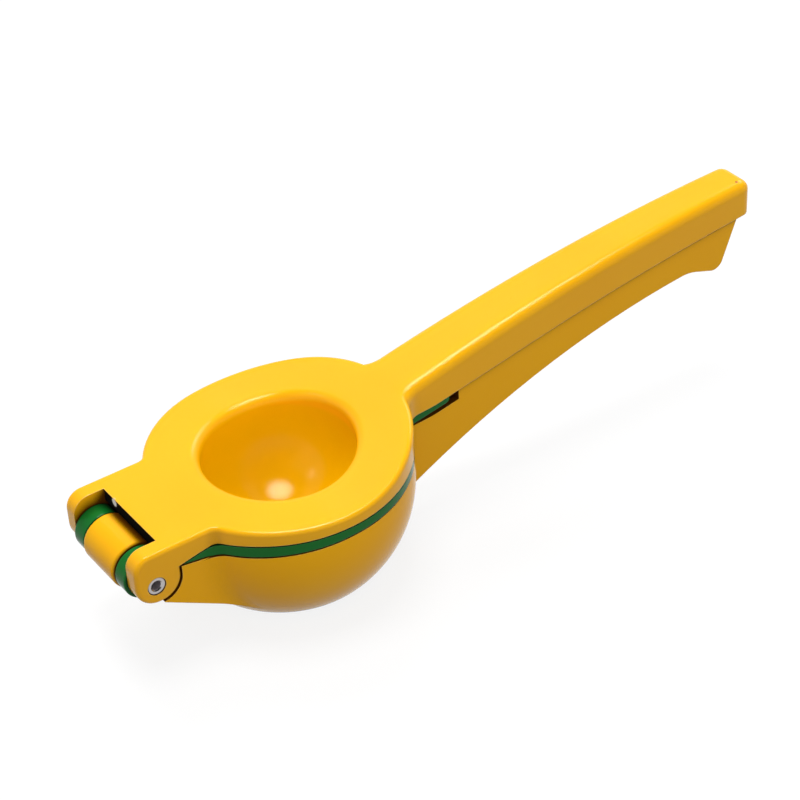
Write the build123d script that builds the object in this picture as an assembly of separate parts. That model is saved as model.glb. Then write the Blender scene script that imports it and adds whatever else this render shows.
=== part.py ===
"""Hinged two-in-one citrus squeezer: a lever press with a big lemon bowl, a small lime cup nested in it
and a hollow plunger on the upper lever, all on one cross pin.

Frame: origin at the middle of the flat land under the lemon bowl, +Z up along the bowl's axis,
+X towards the handles, +Y to the far side.  Millimetres and degrees.
"""
from build123d import *
from math import asin, atan2, cos, degrees, radians, sin, sqrt, tan
import os

os.makedirs("parts", exist_ok=True)

# ---- overall form ---------------------------------------------------------------------------------
ring_radius = 38.5            # outside of the round middle, shared by the whole stack
ring_top = 40.0               # height of the flat ring top above the land under the bowl
handle_end_x = 169.5          # tip of the upper handle, from the bowl's axis
handle_end_rise = 25.3        # how far that tip stands above the ring top
handle_end_tilt = 2.35        # slope left at the tip of the arched back
arch_radius = 697.0           # long gentle arch along the back of the upper handle
root_radius = 120.0           # hollow curve that lifts the back from the flat ring
handle_root_half = 9.75       # half width of the upper handle where it leaves the ring
handle_tip_half = 6.9         # half width of the upper handle at its tip
handle_root_fillet = 7.0      # plan fillets between the ring and the handle
handle_end_corner = 3.5       # plan corners at the tip
ring_edge_round = 1.2         # rounding of the top edge along ring, neck and ears
handle_edge_round = 2.8       # and the fuller one along the handle

# ---- parting line between the levers --------------------------------------------------------------
ring_side = 3.6               # height of the upper ring's side wall, halfway along
seam_tilt = 2.05              # slope of the parting line under the ring
seam_gap = 0.4                # gap above the lime cup's flange, and between the handles
seat_gap = 0.45               # and the one below it
flange = 2.75                 # thickness of that flange at the bowl's axis and beyond
seat_tilt = 3.5               # slope of its underside from there to the hinge, where it thickens
dip_start_x = -23.0           # where the upper lever's edge starts to dip towards the hinge
dip_radius = 110.0
bend_start_x = 45.0           # where the parting line starts to rise towards the handles
bend_radius = 35.0
seam_slope = 9.7              # slope of its straight run along the handles
seam_tip_x = 85.0             # where it starts to level out again
seam_tip_radius = 820.0

# ---- hinge ----------------------------------------------------------------------------------------
pin_x = -52.3
pin_drop = 10.8               # axis below the ring top
pin_radius = 2.85
pin_bore_radius = 1.45        # the pin is a tube, flared at both ends
pin_flare = 0.35
pin_recess = 0.25             # how far its ends sit inside the ear faces
press = 0.01                  # interference of the pin in the ears
running = 0.05                # radial clearance of the pin in barrel and knuckles
side_play = 0.3               # axial gap between neighbours along the pin
swing_gap = 0.4               # radial gap round barrel and knuckles
neck_half = 19.5              # half width of the neck, over the ears
ear_thickness = 5.2
ear_front = 6.1               # how far an ear reaches in front of the pin,
ear_back = 7.9                # behind it
ear_below = 6.1               # and under it
ear_low_corner = 6.8
ear_top_corner = 5.0
ear_gap = 0.2                 # slit between an ear and its pocket in the lower lever
ear_swing = 6.4               # room round the pin for the ears to swing down
barrel_half = 8.3
barrel_radius = 7.55
barrel_round = 1.0            # rounding of the barrel's ends
knuckle_radius = 7.0
knuckle_round = 0.5
notch_x = -48.45              # edge of the plate between the ears
neck_fillet = 3.0             # plan fillet between the neck and the ring
cup_neck_fillet = 7.0         # and the wider one of the lime cup's flange
cheek_end_x = -34.5           # the lower neck rises from here to the ears on both sides
cheek_gap = 0.5               # and ends this far below the upper lever

# ---- plunger, lime cup and lemon bowl -------------------------------------------------------------
plunger_hollow = 22.3         # radius of the plunger's hollow
plunger_wall = 3.0
plunger_centre_drop = 1.8
plunger_lip = 2.7             # rounding of the hollow's edge
peel_gap = 1.9                # room for peel between the plunger and the lime cup
lime_wall = 2.5
lime_centre_drop = 2.3
bowl_wall = 3.9
bowl_centre_drop = 10.9
bowl_floor = 3.2
land_round = 9.0              # rounding from the bowl's side into its flat land
slot_width = 3.0
slot_pitch = 6.4
cup_inset = 0.1               # the flange stands in from the ring's outside
tongue_corner = 3.0
tongue_slope = 8.8            # slope of its underside, steeper than the seam's, so it thins outwards
lime_slot_count = 5
lime_slot_reach = 14.5        # the slots end inside this radius
bowl_slot_count = 6
bowl_slot_reach = 17.5

# ---- handles --------------------------------------------------------------------------------------
upper_wall = 2.4
upper_roof = 2.8
channel_start_x = 42.0        # both channels stop short of the round middle
lower_inset = 0.5             # the lower handle stands in from the upper one's sides
lower_wall = 2.6
lower_floor = 3.0
lower_edge_round = 1.6
under_radius = 275.5          # long arc along the underside of the lower handle
under_level_x = 162.7         # where that arc would run level
under_level_rise = 2.7        # and its height there, above the ring top
hook_start_x = 145.0
hook_x = 157.2                # lowest corner of the finger hook, before rounding
hook_drop = 2.2
hook_round = 3.6
hook_neck_round = 14.0
lower_end_lean = 22.7         # how far its end face leans out from upright
tongue_end_x = 54.7
tongue_play = 1.8             # free length of the notch past the tongue
neck_under_slope = 29.5       # underside of the lower neck
neck_under_offset = 4.85      # its distance below the pin axis
neck_blend = 8.0              # hollow blend between the neck's sides and the bowl
tip_angle = -75.0             # the flank of the lower neck starts at this angle round the pin

# ---- values worked out from those -----------------------------------------------------------------
pin_z = ring_top - pin_drop
ear_inner = neck_half - ear_thickness
knuckle_inner = barrel_half + side_play
knuckle_outer = ear_inner - side_play
swing_radius = barrel_radius + swing_gap
ear_back_x = pin_x + ear_back
lime_radius = plunger_hollow + plunger_wall + peel_gap
seat_drop = seam_gap + flange + seat_gap   # from the parting line down to the lower lever's rim
far = 3 * ring_radius                  # reaches past the part on every side
front_x = pin_x - far


def side_slab(edges, low_y, high_y):
    """A closed outline drawn in X and Z, filled between two places along Y."""
    slab = extrude(Plane.XZ * make_face(edges), (high_y - low_y) / 2, both=True)
    return Pos(0, (low_y + high_y) / 2, 0) * slab


def side_solid(edges):
    """A closed outline drawn in X and Z, filled right across the part."""
    return side_slab(edges, -far, far)


def back_line(drop=0.0):
    """Top of the upper lever from the flat ring along the arched back, lowered by drop."""
    level = ring_top - drop
    arch_x = handle_end_x + arch_radius * sin(radians(handle_end_tilt))
    arch_z = level + handle_end_rise - arch_radius * cos(radians(handle_end_tilt))
    both = arch_radius + root_radius
    root_x = arch_x - sqrt(both ** 2 - (level + root_radius - arch_z) ** 2)
    turn = degrees(asin((arch_x - root_x) / both))
    flat = Line((front_x, level), (root_x, level))
    root = CenterArc((root_x, level + root_radius), root_radius, -90, turn)
    arch = CenterArc((arch_x, arch_z), arch_radius, 90 + turn, -turn - 3)
    return [flat, root, arch]


def ring_line(x, drop=0.0):
    """Height of the parting line's straight part under the ring, at x."""
    return ring_top - ring_side - drop + x * tan(radians(seam_tilt))


def parting_line(drop=0.0):
    """Line between the levers: straight under the ring, rising along the handles."""
    tilt, turn = radians(seam_tilt), radians(seam_slope)
    start = (bend_start_x, ring_line(bend_start_x, drop))
    centre = (start[0] - bend_radius * sin(tilt), start[1] + bend_radius * cos(tilt))
    bend = CenterArc(centre, bend_radius, seam_tilt - 90, seam_slope - seam_tilt)
    rise = bend @ 1
    tip_z = rise.Y + (seam_tip_x - rise.X) * tan(turn)
    ring = Line((front_x, ring_line(front_x, drop)), start)
    run = Line(rise, (seam_tip_x, tip_z))
    centre = (seam_tip_x + seam_tip_radius * sin(turn), tip_z - seam_tip_radius * cos(turn))
    tip = CenterArc(centre, seam_tip_radius, 90 + seam_slope, -seam_slope - 3)
    return [ring, bend, run, tip]


def dipped_line(drop=0.0):
    """Lower edge of the upper lever: the parting line, but dipping on its way to the hinge."""
    ring, *rest = parting_line(drop)
    tilt = radians(seam_tilt)
    start = (dip_start_x, ring_line(dip_start_x, drop))
    centre = (start[0] + dip_radius * sin(tilt), start[1] - dip_radius * cos(tilt))
    slope = asin((centre[0] - pin_x) / dip_radius)
    dip = CenterArc(centre, dip_radius, 90 + degrees(slope), seam_tilt - degrees(slope))
    lead = Line((front_x, (dip @ 0).Y), dip @ 0)
    return [lead, dip, Line(start, ring @ 1), *rest]


def seat_height(x, drop):
    """Height of the flange's underside, or the rim below it, between the hinge and the bowl's axis."""
    return ring_line(0, drop) + x * tan(radians(seat_tilt))


def above_seat(drop):
    """Everything above the flange's underside: a steeper line up to the axis, then the parting line."""
    steep = Line((-far, seat_height(-far, drop)), (far, seat_height(far, drop)))
    return above(parting_line(drop)) + above([steep])


def height_at(edge, x):
    """Height of one edge of such a line at x."""
    return edge.intersect(Axis((x, 0), (0, 1)))[0].Y


def tongue_line(drop):
    """Line under the tongue: it leaves the parting line at the ring and climbs a little faster."""
    low = ring_line(ring_radius, drop)
    rise = far * tan(radians(tongue_slope))
    return [Line((ring_radius - far, low - rise), (ring_radius + far, low + rise))]


def band(low, high):
    """The space between two lines that run from left to right."""
    start = Line(low[0] @ 0, high[0] @ 0)
    end = Line(low[-1] @ 1, high[-1] @ 1)
    return side_solid([*low, end, *high, start])


def above(line):
    ceiling = Line(Vector((line[0] @ 0).X, ring_top + far), Vector((line[-1] @ 1).X, ring_top + far))
    return band(line, [ceiling])


def below(line):
    floor = Line(Vector((line[0] @ 0).X, -far), Vector((line[-1] @ 1).X, -far))
    return band([floor], line)


def handle_half(x, inset=0.0):
    """Half width of the handles at x: they taper evenly from the ring to the tip."""
    share = (x - ring_radius) / (handle_end_x - ring_radius)
    return handle_root_half + share * (handle_tip_half - handle_root_half) - inset


def handle_plan(start_x, end_x, inset=0.0):
    """Tapered outline of a handle, seen from above."""
    near, tip = handle_half(start_x, inset), handle_half(end_x, inset)
    return make_face(Polyline((start_x, -near), (end_x, -tip), (end_x, tip), (start_x, near), close=True))


def column(plan):
    """A plan outline made tall enough to cut out of any of the side profiles."""
    return extrude(plan, far, both=True)


def wide(half, start_x=front_x, end_x=0.0):
    """A plain strip along X, seen from above."""
    return Pos((start_x + end_x) / 2, 0) * Rectangle(end_x - start_x, 2 * half)


def round_neck(plan, radius):
    """Round the two inner corners where the neck meets the ring."""
    corners = plan.vertices().filter_by(lambda v: -ring_radius < v.X < 0 and abs(v.Y) < ring_radius)
    return fillet(corners, radius)


def pin_cylinder(radius, low_y, high_y):
    """A cylinder about the hinge axis between two places along it."""
    middle = (low_y + high_y) / 2
    return Pos(pin_x, middle, pin_z) * Rot(90, 0, 0) * Cylinder(radius, high_y - low_y)


def both_sides(solid):
    return solid + mirror(solid, Plane.XZ)


def slots(count, reach, middle_z, depth):
    """Parallel juice slots that all end on one circle."""
    cutters = []
    for index in range(count):
        y = (index - (count - 1) / 2) * slot_pitch
        length = 2 * sqrt(reach ** 2 - y ** 2)
        cutters.append(extrude(Pos(0, y) * SlotOverall(length, slot_width), depth / 2, both=True))
    return [Pos(0, 0, middle_z) * cutter for cutter in cutters]


# ---- upper lever ----------------------------------------------------------------------------------
def ear_outline(grow=0.0):
    """Side outline of an ear, up to the ring top, or the same with a gap all round it."""
    low, high = pin_z - ear_below - grow, ring_top + grow
    front, back = pin_x - ear_front - grow, ear_back_x + grow
    ear = Pos((front + back) / 2, (low + high) / 2) * Rectangle(back - front, high - low)
    ear = fillet(ear.vertices().sort_by(Axis.Y)[:2], ear_low_corner)
    return fillet(ear.vertices().sort_by(Axis.Y)[-2:].sort_by(Axis.X)[:1], ear_top_corner)


def upper_profile():
    """Side outline: ear, neck, ring and handle in one."""
    low, high = dipped_line(), back_line()
    lever = make_face([*low, Line(low[-1] @ 1, high[-1] @ 1), *high, Line(low[0] @ 0, high[0] @ 0)])
    length = handle_end_x - pin_x
    window = Pos(pin_x + length / 2, 0) * Rectangle(length, 2 * far)
    return ear_outline() + (lever & window)


def handle_outline():
    """Tapering handle seen from above, with hollow fillets into the ring."""
    plan = Circle(ring_radius) + handle_plan(0, handle_end_x)
    roots = plan.vertices().filter_by(lambda v: 0 < v.X < ring_radius and abs(v.Y) > handle_tip_half / 2)
    return fillet(roots, handle_root_fillet) & wide(far, 0, handle_end_x)


def upper_block():
    """Outer form of the upper lever: ring and neck with a fine rounding, the handle with a full one."""
    side = extrude(Plane.XZ * upper_profile(), far, both=True)
    ring = side & column(round_neck(Circle(ring_radius) + wide(neck_half), neck_fillet))
    round_edge = ring.faces().filter_by(Axis.Z).sort_by(Axis.Z)[-1].edges().filter_by(GeomType.CIRCLE)
    ring = fillet(round_edge.sort_by(SortBy.LENGTH)[-1:], ring_edge_round)
    handle = side & column(handle_outline())
    tip = handle.edges().filter_by(Axis.Z).filter_by(lambda e: e.center().X > handle_end_x - 1)
    handle = fillet(tip, handle_end_corner)
    back = handle.edges().filter_by(lambda e: e.length > handle_end_x / 2).sort_by(Axis.Z)[-1:]
    return ring + fillet(back, handle_edge_round)


def upper_lever():
    block = upper_block()
    centre = ring_top - plunger_centre_drop
    plunger = Pos(0, 0, centre) * Sphere(plunger_hollow + plunger_wall)
    plunger &= below([Line((-far, centre), (far, centre))])
    hollow = Pos(0, 0, centre) * Sphere(plunger_hollow)
    hollow += Pos(0, 0, centre + far / 2) * Cylinder(plunger_hollow, far)
    lever = block + plunger - hollow
    rim = lever.edges().filter_by(lambda e: e.center().Z > centre and inside_circle(e, plunger_hollow + 1))
    lever = fillet(rim, plunger_lip)
    notch = column(wide(ear_inner, end_x=notch_x))
    notch += column(wide(ear_inner, end_x=ear_back_x + ear_gap)) & below(dipped_line())
    swing = pin_cylinder(swing_radius, -ear_inner, ear_inner)
    bore = pin_cylinder(pin_radius - press, -far, far)
    inner = handle_plan(channel_start_x, handle_end_x - upper_wall, upper_wall)
    channel = column(inner) & below(back_line(upper_roof))
    return lever - notch - swing - bore - channel


def inside_circle(edge, radius):
    """True for an edge that stays within a radius of the bowl's axis."""
    return all(sqrt((edge @ t).X ** 2 + (edge @ t).Y ** 2) < radius for t in (0, 0.5, 1))


# ---- lime cup -------------------------------------------------------------------------------------
def lime_cup():
    plan = Circle(ring_radius - cup_inset) + wide(neck_half - cup_inset, ear_back_x + swing_gap)
    plan = round_neck(plan, cup_neck_fillet)
    tongue = handle_plan(0, tongue_end_x, lower_inset)
    tongue = fillet(tongue.vertices().sort_by(Axis.X)[-2:], tongue_corner)
    plan += tongue + wide(knuckle_outer, pin_x)
    low = seam_gap + flange
    plate = column(plan) & above_seat(low) & above(tongue_line(low)) & below(dipped_line(seam_gap))
    centre = Pos(0, 0, ring_top - lime_centre_drop)
    cup = centre * Sphere(lime_radius + lime_wall) & below(dipped_line(seam_gap))
    knuckle = pin_cylinder(knuckle_radius, knuckle_inner, knuckle_outer)
    knuckles = both_sides(fillet(knuckle.edges().filter_by(GeomType.CIRCLE), knuckle_round))
    body = plate + cup + knuckles - centre * Sphere(lime_radius)
    body -= pin_cylinder(swing_radius, -knuckle_inner, knuckle_inner)
    body -= pin_cylinder(pin_radius + running, -far, far)
    body -= both_sides(cheek(seam_gap))
    base = ring_top - lime_centre_drop - lime_radius
    for cutter in slots(lime_slot_count, lime_slot_reach, base, lime_radius):
        body -= cutter
    return body


# ---- lower lever ----------------------------------------------------------------------------------
def bowl_form(radius, floor, corner):
    """A ball-shaped bowl with a flat bottom and a rounded turn into it."""
    centre = ring_top - bowl_centre_drop
    half = Pos(0, centre) * Circle(radius) & Pos(radius, floor + far / 2) * Rectangle(2 * radius, far)
    foot = half.vertices().filter_by(lambda v: v.X > corner).sort_by(Axis.Y)[:1]
    half = fillet(foot, corner)
    return revolve(Plane.XZ * half, Axis.Z)


def cheek(grow=0.0):
    """Side of the lower neck that rises to an ear beside the lime cup's plate."""
    top = height_at(dipped_line()[1], ear_back_x) - cheek_gap + grow
    low = seat_height(cheek_end_x, seat_drop) + grow
    start_x, foot = ear_back_x - ear_back, pin_z - neck_under_offset
    outline = Polyline((start_x, foot), (start_x, top), (ear_back_x, top), (cheek_end_x, low), (cheek_end_x, foot))
    edges = [*outline.edges(), Line(outline @ 1, outline @ 0)]
    return side_slab(edges, knuckle_outer - grow, neck_half + grow)


def lower_neck():
    """Solid neck under the hinge, with a sloping underside that runs into the bowl."""
    slope = radians(neck_under_slope)
    start = (pin_x - neck_under_offset * sin(slope), pin_z - neck_under_offset * cos(slope))
    run = -start[0] - ring_radius / 2
    end = (start[0] + run, start[1] - run * tan(slope))
    outline = Polyline(start, end, (end[0], ring_top), (pin_x, ring_top), (pin_x, pin_z), close=True)
    valleys = both_sides(neck_valley()) & side_solid(outline.edges())
    return side_slab(outline.edges(), -neck_half, neck_half) + valleys - above_seat(seat_drop)


def neck_valley():
    """Hollow blend between the far side of the neck and the ball of the bowl, turned about the ball."""
    reach = sqrt((ring_radius + neck_blend) ** 2 - (neck_half + neck_blend) ** 2)
    steep = degrees(atan2(neck_half + neck_blend, reach))
    hollow = CenterArc((reach, neck_half + neck_blend), neck_blend, -90, steep - 90)
    on_ball = hollow @ 1
    core = Polyline(on_ball, (0, on_ball.Y), (0, neck_half), (reach, neck_half))
    section = make_face([hollow, *core.edges()])
    return Pos(0, 0, ring_top - bowl_centre_drop) * revolve(section, Axis.Y)


def ear_pocket():
    """Room for one ear and its swing: round under the pin, open above and in front."""
    inner = ear_inner - side_play
    at_rest = side_slab(ear_outline(ear_gap).edges(), inner, far)
    around_pin = pin_cylinder(ear_swing, inner, far)
    tip = (pin_x + far * cos(radians(tip_angle)), pin_z + far * sin(radians(tip_angle)))
    front = Polyline((pin_x, ring_top), (pin_x, pin_z), tip, (front_x, tip[1]), (front_x, ring_top), close=True)
    return at_rest + around_pin + side_slab(front.edges(), inner, far)


def under_outline():
    """Side outline of the lower handle, left open at the top: long arc, finger hook and end face."""
    level = ring_top + under_level_rise
    centre_z = level - under_radius
    start_x = ring_radius / 2

    def on_arc(x):
        return x, centre_z + sqrt(under_radius ** 2 - (x - under_level_x) ** 2)

    def angle(x):
        return degrees(atan2(on_arc(x)[1] - centre_z, x - under_level_x))

    turn = angle(hook_start_x) - angle(start_x)
    arc = CenterArc((under_level_x, centre_z), under_radius, angle(start_x), turn)
    hook = (hook_x, ring_top - hook_drop)
    top = ring_top + far
    corner = (hook[0] + (top - hook[1]) * tan(radians(lower_end_lean)), top)
    lines = Polyline(arc @ 1, hook, corner, (start_x, top), arc @ 0)
    outline = make_face([arc, *lines.edges()])
    outline = fillet(outline.vertices().sort_by_distance(Vector(*hook))[:1], hook_round)
    return fillet(outline.vertices().sort_by_distance(arc @ 1)[:1], hook_neck_round)


def lower_handle():
    """Handle as a channel, open upwards, hooked at its end."""
    outer = extrude(Plane.XZ * under_outline(), far, both=True)
    plan = handle_plan(ring_radius / 2, handle_end_x, lower_inset)
    block = column(plan) & outer & below(parting_line(seam_gap))
    long_edges = block.edges().filter_by(lambda e: e.length > handle_end_x / 2).sort_by(Axis.Z)
    block = fillet(long_edges[:1], lower_edge_round)
    inner = column(handle_plan(channel_start_x, handle_end_x, lower_inset + lower_wall))
    channel = inner & Pos(-lower_wall, 0, lower_floor) * outer
    return block - channel


def lower_lever():
    bowl = bowl_form(ring_radius, 0, land_round) - above_seat(seat_drop)
    barrel = pin_cylinder(barrel_radius, -barrel_half, barrel_half)
    barrel = fillet(barrel.edges().filter_by(GeomType.CIRCLE), barrel_round)
    notch_end = tongue_end_x + tongue_play
    seat = column(wide(far / 2, 0, notch_end)) & above(parting_line(seat_drop))
    handle = lower_handle() - seat
    body = bowl + lower_neck()
    body += both_sides(cheek())
    body -= both_sides(ear_pocket())
    body -= both_sides(pin_cylinder(swing_radius, barrel_half, ear_inner))
    body += barrel + handle
    cavity = bowl_form(ring_radius - bowl_wall, bowl_floor, land_round - bowl_wall)
    cavity = cavity + Pos(0, 0, ring_top) * Cylinder(ring_radius - bowl_wall, 2 * bowl_centre_drop)
    body -= cavity
    body -= pin_cylinder(pin_radius + running, -far, far)
    for cutter in slots(bowl_slot_count, bowl_slot_reach, bowl_floor / 2, 3 * bowl_floor):
        body -= cutter
    return body


# ---- hinge pin ------------------------------------------------------------------------------------
def hinge_pin():
    """A steel tube through ears, knuckles and barrel, its ends opened out a little."""
    half = neck_half - pin_recess
    pin = pin_cylinder(pin_radius, -half, half) - pin_cylinder(pin_bore_radius, -far, far)
    ends = pin.edges().filter_by(GeomType.CIRCLE).filter_by(lambda e: abs(e.center().Y) > half - 0.1)
    rings = ends.sort_by(SortBy.RADIUS)
    pin = chamfer(rings[:2], pin_flare)
    outer = pin.edges().filter_by(GeomType.CIRCLE).sort_by(SortBy.RADIUS)[-2:]
    return fillet(outer, pin_flare / 2)


nodes = {
    "upper_lever": upper_lever(),
    "lime_cup": lime_cup(),
    "lower_lever": lower_lever(),
    "hinge_pin": hinge_pin(),
}
for name, solid in nodes.items():
    export_step(solid, f"parts/{name}.step")
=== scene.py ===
"""Hinged citrus press in yellow and green baked enamel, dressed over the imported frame.

Metres, in the frame of the solids: origin at the middle of the land under the bowl, +Z up,
+X to the handles, +Y along the hinge pin. Each solid keeps its own mesh and gets a material;
the rest is floor, light and camera.
"""
import math
from collections import namedtuple

import bpy
from mathutils import Matrix, Vector

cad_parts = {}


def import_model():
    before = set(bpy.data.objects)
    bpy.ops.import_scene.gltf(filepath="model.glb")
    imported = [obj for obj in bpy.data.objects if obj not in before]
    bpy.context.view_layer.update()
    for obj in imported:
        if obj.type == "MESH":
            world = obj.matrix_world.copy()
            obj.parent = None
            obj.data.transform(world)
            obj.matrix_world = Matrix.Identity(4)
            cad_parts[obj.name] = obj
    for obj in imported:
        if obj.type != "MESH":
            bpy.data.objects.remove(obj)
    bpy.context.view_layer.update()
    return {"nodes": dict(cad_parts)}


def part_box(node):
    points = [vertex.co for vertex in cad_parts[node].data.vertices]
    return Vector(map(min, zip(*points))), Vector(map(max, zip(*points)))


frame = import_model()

scene = bpy.context.scene
scene.view_settings.view_transform = "Standard"

# ---- colours, linear ----------------------------------------------------------------------
# The last colour of each enamel is painted shade, mixed into crevices and seams.
Enamel = namedtuple("Enamel", "colour deep pale crevice")
YELLOW = Enamel(
    colour=(0.94, 0.46, 0.005),
    deep=(0.93, 0.44, 0.004),
    # pale: painted highlight along the edges, partly also enamel worn thin there; the same in
    # both enamels.
    pale=(1.0, 0.66, 0.16),
    crevice=(0.10, 0.03, 0.0),
)
GREEN = Enamel(
    colour=(0.005, 0.155, 0.020),
    deep=(0.004, 0.14, 0.016),
    pale=(0.05, 0.22, 0.07),
    crevice=(0.002, 0.012, 0.003),
)
# Painted shade: the deeper orange of the plunger's hollow.
HOLLOW_SHADE = (0.83, 0.458, 0.0)
# Painted shade: near black on the plate's face behind the barrel.
NOTCH_SHADE = (0.008, 0.007, 0.007)
# Painted glint: a white spot on the dark face behind the barrel.
GLINT = (0.9, 0.92, 0.96)
SPECK = (0.42, 0.12, 0.01)
STEEL = (0.44, 0.42, 0.42)
STEEL_BORE = (0.32, 0.28, 0.30)
# Painted shade round the outer part of the pin's end.
STEEL_RIM_SHADE = (0.09, 0.05, 0.03)
FLOOR_LIT = (0.10, 0.10, 0.10)
FLOOR_SEEN = (0.95, 0.95, 0.95)
WHITE = (1, 1, 1, 1)

# Pairs that are handed to ramp() say first where it is 0 and then where it is 1.

# ---- places on the object, in metres ------------------------------------------------------
# Where the painted shade of the plunger's hollow lies.
HOLLOW_SHADE_RADIUS = (0.0245, 0.0215)
HOLLOW_SHADE_HEIGHT = (0.0397, 0.0375)
BROAD_RING = (0.031, 0.028)
BROAD_HANDLE = (0.026, 0.040)
BROAD_FACING_UP = (0.0, 0.35)
# Where the extra painted shade under the upper handle starts on the lower lever.
SEAM_START = (0.045, 0.060)
# Where the painted shade on the plate's face behind the barrel lies.
PLATE_HALF_WIDTH = 0.01409
PLATE_FROM_PIN = (0.0036, 0.0081)
PLATE_BELOW_PIN = 0.001
PLATE_TOP = 0.0398
# Where the painted glint sits, and its size.
GLINT_AT, GLINT_RADIUS = (-0.04845, 0.0085, 0.0387), 0.0015
SPECK_AT, SPECK_RADIUS = (0.16544, -0.00405, 0.06512), 0.0006
SPOT_CORE = 0.6
PIN_BORE = 0.00150
# Where the painted shade round the pin's end lies.
PIN_RIM = (0.00245, 0.00265)

# ---- enamel; scales are per metre ---------------------------------------------------------
TINT_SCALE, TINT = 30.0, (0.3, 0.75)
EDGE_RADIUS, BROAD_RADIUS = 0.0005, 0.0018
# The pale edges are painted highlight, partly worn enamel: on sharp edges out in the open, broken
# up by noise.
EDGE_TURN = (0.985, 0.88)
# How far the painted shade in crevices looks for surfaces that close it in.
CREVICE_REACH = 0.004
EDGE_OPEN = (0.5, 0.75)
WEAR_SCALE, WEAR, WEAR_AND_HIGHLIGHT_SHARE = 300.0, (0.2, 0.6), 0.8
# Extra painted shade on the lower lever under the upper handle's overhang.
SEAM_SHADE = 1.4
CELL_SCALE, CELL_CORE, CELL_PICKED = 170.0, (0.065, 0.04), (0.93, 0.95)
DIRT_SHARE, DIRT_DARKNESS, DIRT_DEPTH = 0.7, 0.35, 1.5
GLOSS_SCALE, GLOSS_ROUGHNESS = 260.0, (0.13, 0.19)
PEEL_SCALE, GRAIN_SCALE, GRAIN_SHARE = 420.0, 2600.0, 0.12
BUMP_STRENGTH = 0.3
PEEL_DEPTH = 0.00005
LACQUER_IOR = 1.5

# ---- pin steel ----------------------------------------------------------------------------
TURNING_SCALE, TURNING_DEPTH = 9000.0, 0.00003
STEEL_ROUGHNESS = (0.10, 0.24)
BORE_DULLNESS = 0.8

# ---- floor, light and camera --------------------------------------------------------------
FLOOR_HALF = 4.0
FLOOR_GLOW = 0.85
ROOM, ROOM_FRONT, ROOM_RIGHT, ROOM_CEILING = 0.34, 1.72, 0.06, 0.12
FRONT_TOWARDS, FRONT_BELOW, FRONT_ABOVE = (0.3, -0.9), (0.75, 0.25), (-0.02, 0.24)
CEILING = (0.3, 1.0)
MIRROR_DARK, MIRROR_PALE = 0.06, 0.84
PALE_BACK, PALE_HORIZON, PALE_TOP = (-0.5, -0.1), (0.40, 0.15), (0.90, 0.78)
FIRST_BOUNCE = 2.5
PANELS = (  # direction, half angles of the whole and of the core in degrees, strength
    ((0.10, 0.06, 0.99), 21, 8, 28.0),
    ((0.67, 0.36, 0.65), 15, 6, 8.0),
    ((-0.62, 0.30, 0.72), 9, 4, 6.5),
)
SUNS = (  # name, direction, strength, angle in degrees
    ("softbox", (0.02, 0.11, 0.99), 1.62, 26),
    ("far_panel", (0.24, 0.68, 0.69), 1.72, 34),
    ("side_panel", (-0.62, 0.30, 0.72), 0.35, 20),
)
AZIMUTH, ELEVATION, ROLL = (math.radians(a) for a in (-32.95, 36.42, -3.28))
CAMERA_LENS, CAMERA_SENSOR, CAMERA_CLIP = 112.5, 36.0, 0.01
CAMERA_BACK, CAMERA_RIGHT, CAMERA_UP = 0.70533, 0.03442, 0.01329
CAMERA_TARGET = Vector((0, 0, 0.04))


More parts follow.
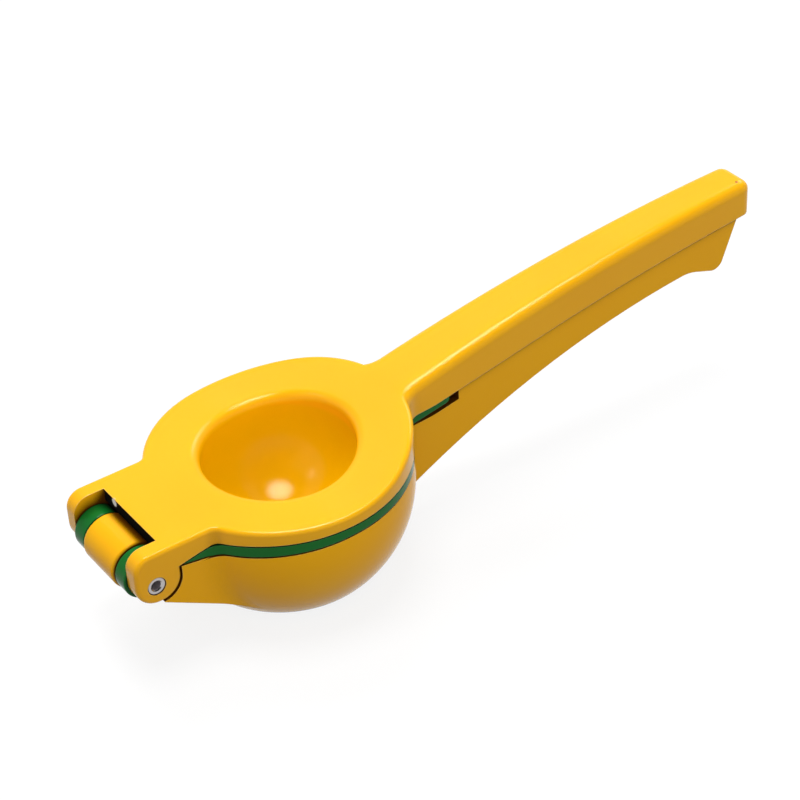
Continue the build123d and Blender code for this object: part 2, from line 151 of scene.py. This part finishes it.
# ---- node trees ---------------------------------------------------------------------------
class Tree:
    """The node tree of a material or world, with short ways to add and join nodes."""

    def __init__(self, owner):
        self.owner = owner
        owner.use_nodes = True
        self.tree = owner.node_tree
        self.tree.nodes.clear()

    def node(self, kind, inputs=(), **settings):
        made = self.tree.nodes.new(kind)
        for key, value in settings.items():
            setattr(made, key, value)
        for key, value in dict(inputs).items():
            if isinstance(value, bpy.types.NodeSocket):
                self.tree.links.new(value, made.inputs[key])
            else:
                made.inputs[key].default_value = value
        return made

    def math(self, operation, first, second=0.0):
        return self.node("ShaderNodeMath", {0: first, 1: second}, operation=operation).outputs[0]

    def chain(self, operation, first, *others):
        for other in others:
            first = self.math(operation, first, other)
        return first

    def times(self, *factors):
        return self.chain("MULTIPLY", *factors)

    def plus(self, *terms):
        return self.chain("ADD", *terms)

    def measure(self, operation, first, second):
        """A number out of two vectors."""
        made = self.node("ShaderNodeVectorMath", {0: first, 1: second}, operation=operation)
        return made.outputs["Value"]

    def split(self, vector):
        return self.node("ShaderNodeSeparateXYZ", {0: vector}).outputs

    def length(self, first, second):
        """Length of a flat vector."""
        return self.math("SQRT", self.plus(self.times(first, first), self.times(second, second)))

    def between(self, value, low, high):
        """1 where the value lies between low and high."""
        return self.times(
            self.math("GREATER_THAN", value, low), self.math("LESS_THAN", value, high))

    def ramp(self, value, zero, one):
        """0 up to one end and 1 from the other, smooth between; either end may be the higher."""
        made = self.node(
            "ShaderNodeMapRange", {0: value, 1: zero, 2: one}, interpolation_type="SMOOTHSTEP")
        return made.outputs[0]

    def spread(self, value, low, high):
        """A value from 0 to 1 brought to the range from low to high."""
        return self.node("ShaderNodeMapRange", {0: value, 3: low, 4: high}).outputs[0]

    def mix(self, factor, first, second):
        """Mix two colours, each a socket or three numbers."""
        first, second = (
            c if isinstance(c, bpy.types.NodeSocket) else (*c, 1) for c in (first, second))
        made = self.node("ShaderNodeMix", {0: factor, 6: first, 7: second}, data_type="RGBA")
        return made.outputs[2]

    def blend(self, factor, first, second):
        """Mix two numbers."""
        return self.node("ShaderNodeMix", {0: factor, 2: first, 3: second}).outputs[0]

    def noise(self, where, scale, detail):
        made = self.node(
            "ShaderNodeTexNoise", {"Vector": where, "Scale": scale, "Detail": detail})
        return made.outputs[0]

    def bevel(self, radius, samples):
        """The surface's normal, as if its edges were rounded."""
        return self.node("ShaderNodeBevel", {"Radius": radius}, samples=samples).outputs[0]

    def light_path(self):
        """The outputs of Light Path, and 1 for rays that were mirrored or went through glass."""
        path = self.node("ShaderNodeLightPath").outputs
        return path, self.math("MAXIMUM", path["Is Glossy Ray"], path["Is Transmission Ray"])

    def finish(self, shader):
        self.node("ShaderNodeOutputMaterial", {"Surface": shader})
        return self.owner


# ---- enamel -------------------------------------------------------------------------------
def pin_axis():
    low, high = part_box("hinge_pin")
    return (low + high) / 2


def hollow_shade(t, x, y, z):
    """Painted shade: inside the plunger's ring, below its rim, the hollow is painted a deeper
    orange.
    """
    return t.times(t.ramp(t.length(x, y), *HOLLOW_SHADE_RADIUS), t.ramp(z, *HOLLOW_SHADE_HEIGHT))


def flowing(t, x, y, normal):
    """The rim of the hollow and the handle's top edges are rounded more broadly than the rest."""
    ring = t.ramp(t.length(x, y), *BROAD_RING)
    broad = t.math("MAXIMUM", t.ramp(x, *BROAD_HANDLE), ring)
    broad = t.times(broad, t.ramp(t.split(normal)[2], *BROAD_FACING_UP))
    return t.bevel(t.plus(EDGE_RADIUS, t.times(broad, BROAD_RADIUS)), samples=8)


def shaded_notch_wall(t, x, y, z):
    """Painted shade: the face of the plate that looks at the barrel is painted near black."""
    axis = pin_axis()
    near, far = PLATE_FROM_PIN
    across = t.math("LESS_THAN", t.math("ABSOLUTE", y), PLATE_HALF_WIDTH)
    along = t.between(x, axis.x + near, axis.x + far)
    height = t.between(z, axis.z - PLATE_BELOW_PIN, PLATE_TOP)
    return t.times(across, along, height)


def spot(t, where, middle, radius):
    """One round mark in the enamel: a speck of dirt, or the painted glint."""
    return t.ramp(t.measure("DISTANCE", where, middle), radius, radius * SPOT_CORE)


def specks(t, where):
    """Rare specks of dirt, in a few of many small cells."""
    cells = t.node(
        "ShaderNodeTexVoronoi", {"Vector": where, "Scale": CELL_SCALE}, feature="F1").outputs
    pick = t.node("ShaderNodeSeparateColor", {0: cells["Color"]}).outputs[0]
    return t.times(t.ramp(cells["Distance"], *CELL_CORE), t.ramp(pick, *CELL_PICKED))


def enamel(name, look, crevice_shade, gloss, special=()):
    """Baked gloss enamel: orange peel, slow shifts of colour, pale edges that are painted
    highlight and partly worn enamel, and painted shade in crevices and seams.

    crevice_shade is how dark the painted shade in crevices gets and gloss is the specular level.
    special names what only one casting has: "hollow_shade" (painted shade in the hollow),
    "flowing" and "notch_shade" (painted shade behind the barrel) for the upper lever,
    "shaded_seam" (painted shade under the upper handle) for the lower.
    """
    t = Tree(bpy.data.materials.new(name))
    where = t.node("ShaderNodeTexCoord").outputs["Object"]
    x, y, z = t.split(where)
    paint = t.mix(t.ramp(t.noise(where, TINT_SCALE, detail=2.0), *TINT), look.colour, look.deep)
    # Painted shade in the plunger's hollow.
    if "hollow_shade" in special:
        paint = t.mix(hollow_shade(t, x, y, z), paint, HOLLOW_SHADE)

    normal = t.node("ShaderNodeNewGeometry").outputs["Normal"]
    # Pale edges: painted highlight along sharp, open edges, partly also worn enamel.
    thin = t.bevel(EDGE_RADIUS, samples=6)
    soft = flowing(t, x, y, normal) if "flowing" in special else thin
    open_air = t.node(
        "ShaderNodeAmbientOcclusion", {"Distance": CREVICE_REACH}, samples=12).outputs["AO"]
    edge_wear_and_highlight = t.times(
        t.ramp(t.measure("DOT_PRODUCT", thin, normal), *EDGE_TURN),
        t.ramp(open_air, *EDGE_OPEN),
        t.ramp(t.noise(where, WEAR_SCALE, detail=2.0), *WEAR),
    )
    paint = t.mix(t.times(edge_wear_and_highlight, WEAR_AND_HIGHLIGHT_SHARE), paint, look.pale)
    # Painted shade: darker where the surface is closed in, more so under the upper handle on the
    # lower lever.
    if "shaded_seam" in special:
        crevice_shade = t.plus(crevice_shade, t.times(t.ramp(x, *SEAM_START), SEAM_SHADE))
    closed = t.times(t.math("SUBTRACT", 1.0, open_air), crevice_shade)
    paint = t.mix(t.node("ShaderNodeClamp", {0: closed}).outputs[0], paint, look.crevice)

    dirt = specks(t, where)
    paint = t.mix(t.times(dirt, DIRT_SHARE), paint, tuple(DIRT_DARKNESS * c for c in look.deep))
    grain = t.times(t.noise(where, GRAIN_SCALE, detail=1.0), GRAIN_SHARE)
    peel = t.plus(t.noise(where, PEEL_SCALE, detail=2.0), grain)
    bump = t.node("ShaderNodeBump", {
        "Strength": BUMP_STRENGTH, "Distance": PEEL_DEPTH, "Normal": soft,
        "Height": t.math("SUBTRACT", peel, t.times(dirt, DIRT_DEPTH)),
    })
    # Painted shade on the plate's face behind the barrel, which is also left without gloss.
    if "notch_shade" in special:
        notch_shade = shaded_notch_wall(t, x, y, z)
        paint = t.mix(notch_shade, paint, NOTCH_SHADE)
        paint = t.mix(spot(t, where, SPECK_AT, SPECK_RADIUS), paint, SPECK)
        # A painted glint: a white spot on the dark face behind the barrel.
        paint = t.mix(spot(t, where, GLINT_AT, GLINT_RADIUS), paint, GLINT)
        gloss = t.times(gloss, t.math("SUBTRACT", 1.0, notch_shade))
    shader = t.node("ShaderNodeBsdfPrincipled", {
        "Base Color": paint,
        "Roughness": t.spread(t.noise(where, GLOSS_SCALE, detail=3.0), *GLOSS_ROUGHNESS),
        "IOR": LACQUER_IOR,
        "Specular IOR Level": gloss,
        "Normal": bump.outputs[0],
    })
    return t.finish(shader.outputs[0])


# ---- steel --------------------------------------------------------------------------------
def steel(name):
    """Bright turned steel, with a dark bore and painted shade round the outer part of its end."""
    t = Tree(bpy.data.materials.new(name))
    x, _, z = t.split(t.node("ShaderNodeTexCoord").outputs["Object"])
    axis = pin_axis()
    radius = t.length(t.math("SUBTRACT", x, axis.x), t.math("SUBTRACT", z, axis.z))
    bore = t.math("LESS_THAN", radius, PIN_BORE)
    colour = t.mix(bore, STEEL, STEEL_BORE)
    # Painted shade round the outer part of the pin's end.
    colour = t.mix(t.ramp(radius, *PIN_RIM), colour, STEEL_RIM_SHADE)
    rings = t.node(
        "ShaderNodeTexNoise", {"Scale": TURNING_SCALE, "W": radius}, noise_dimensions="1D",
    ).outputs[0]
    bump = t.node("ShaderNodeBump", {
        "Strength": BUMP_STRENGTH, "Distance": TURNING_DEPTH, "Height": rings,
    })
    shader = t.node("ShaderNodeBsdfPrincipled", {
        "Base Color": colour,
        "Roughness": t.spread(rings, *STEEL_ROUGHNESS),
        "Metallic": t.math("SUBTRACT", 1.0, t.times(bore, BORE_DULLNESS)),
        "Normal": bump.outputs[0],
    })
    return t.finish(shader.outputs[0])


# ---- floor and light ----------------------------------------------------------------------
def floor():
    """White paper with a faint shadow to the eye, dark to the light that falls on the object."""
    data = bpy.data.meshes.new("floor")
    half = FLOOR_HALF
    corners = [(-half, -half, 0), (half, -half, 0), (half, half, 0), (-half, half, 0)]
    data.from_pydata(corners, [], [(0, 1, 2, 3)])
    plane = bpy.data.objects.new("floor", data)
    scene.collection.objects.link(plane)
    t = Tree(bpy.data.materials.new("floor_paper"))
    path, mirrored = t.light_path()
    seen = t.math("MAXIMUM", path["Is Camera Ray"], mirrored)
    paper = t.mix(seen, FLOOR_LIT, FLOOR_SEEN)
    matt = t.node("ShaderNodeBsdfDiffuse", {"Color": paper}).outputs[0]
    glow = t.node("ShaderNodeEmission", {"Color": WHITE, "Strength": 1.0}).outputs[0]
    share = t.times(seen, FLOOR_GLOW)
    data.materials.append(
        t.finish(t.node("ShaderNodeMixShader", {0: share, 1: matt, 2: glow}).outputs[0]))


def world():
    """White to the eye, a dim room to matt surfaces, and to mirrors a pale horizon and panels."""
    studio = bpy.data.worlds.new("studio")
    scene.world = studio
    t = Tree(studio)
    direction = t.node("ShaderNodeTexCoord").outputs["Generated"]
    x, y, z = t.split(direction)
    front = t.times(
        t.ramp(y, *FRONT_TOWARDS), t.ramp(z, *FRONT_BELOW), t.ramp(z, *FRONT_ABOVE))
    room = t.plus(ROOM, t.times(front, ROOM_FRONT), t.times(x, ROOM_RIGHT))
    room = t.math("SUBTRACT", room, t.times(t.ramp(z, *CEILING), ROOM_CEILING))

    path, mirrored = t.light_path()
    # Ray Depth is one higher here than on a surface, so this is a mirror ray's first bounce.
    first = t.math("LESS_THAN", path["Ray Depth"], FIRST_BOUNCE)
    pale = t.math("MAXIMUM", t.ramp(y, *PALE_BACK), t.ramp(z, *PALE_HORIZON))
    pale = t.times(pale, t.ramp(z, *PALE_TOP))
    mirror = t.plus(MIRROR_DARK, t.times(pale, MIRROR_PALE))
    for middle, whole, core, strength in PANELS:
        ends = (math.cos(math.radians(angle)) for angle in (whole, core))
        panel = t.ramp(t.measure("DOT_PRODUCT", direction, middle), *ends)
        mirror = t.plus(mirror, t.times(panel, first, strength))

    level = t.blend(mirrored, room, mirror)
    level = t.blend(path["Is Camera Ray"], level, 1.0)
    lit = t.node("ShaderNodeBackground", {"Color": WHITE, "Strength": level}).outputs[0]
    t.node("ShaderNodeOutputWorld", {"Surface": lit})


def sun(name, direction, strength, angle):
    """A soft lamp that mirror rays don't see; the world's panels are the glints."""
    data = bpy.data.lights.new(name, "SUN")
    data.energy = strength
    data.angle = math.radians(angle)
    lamp = bpy.data.objects.new(name, data)
    lamp.rotation_euler = Vector(direction).to_track_quat("Z", "Y").to_euler()
    lamp.visible_glossy = False
    scene.collection.objects.link(lamp)


# ---- camera -------------------------------------------------------------------------------
def camera():
    flat = math.cos(ELEVATION)
    back = Vector((math.sin(AZIMUTH) * flat, -math.cos(AZIMUTH) * flat, math.sin(ELEVATION)))
    level = Vector((math.cos(AZIMUTH), math.sin(AZIMUTH), 0))
    upright = back.cross(level)
    right = level * math.cos(ROLL) + upright * math.sin(ROLL)
    up = upright * math.cos(ROLL) - level * math.sin(ROLL)
    data = bpy.data.cameras.new("camera")
    data.lens = CAMERA_LENS
    data.sensor_width = CAMERA_SENSOR
    data.clip_start = CAMERA_CLIP
    eye = bpy.data.objects.new("camera", data)
    place = Matrix((right, up, back)).transposed().to_4x4()
    place.translation = (
        back * CAMERA_BACK + right * CAMERA_RIGHT + up * CAMERA_UP + CAMERA_TARGET)
    eye.matrix_world = place
    scene.collection.objects.link(eye)
    scene.camera = eye


def dress(node, material):
    data = frame["nodes"][node].data
    data.materials.clear()
    data.materials.append(material)


dress("upper_lever", enamel(
    "yellow_enamel_upper", YELLOW, crevice_shade=2.0, gloss=0.15, special=("hollow_shade", "flowing", "notch_shade")))
dress("lower_lever", enamel(
    "yellow_enamel", YELLOW, crevice_shade=2.6, gloss=0.08, special=("shaded_seam",)))
dress("lime_cup", enamel("green_enamel", GREEN, crevice_shade=1.2, gloss=0.10))
dress("hinge_pin", steel("pin_steel"))

floor()
world()
for lamp in SUNS:
    sun(*lamp)
camera()
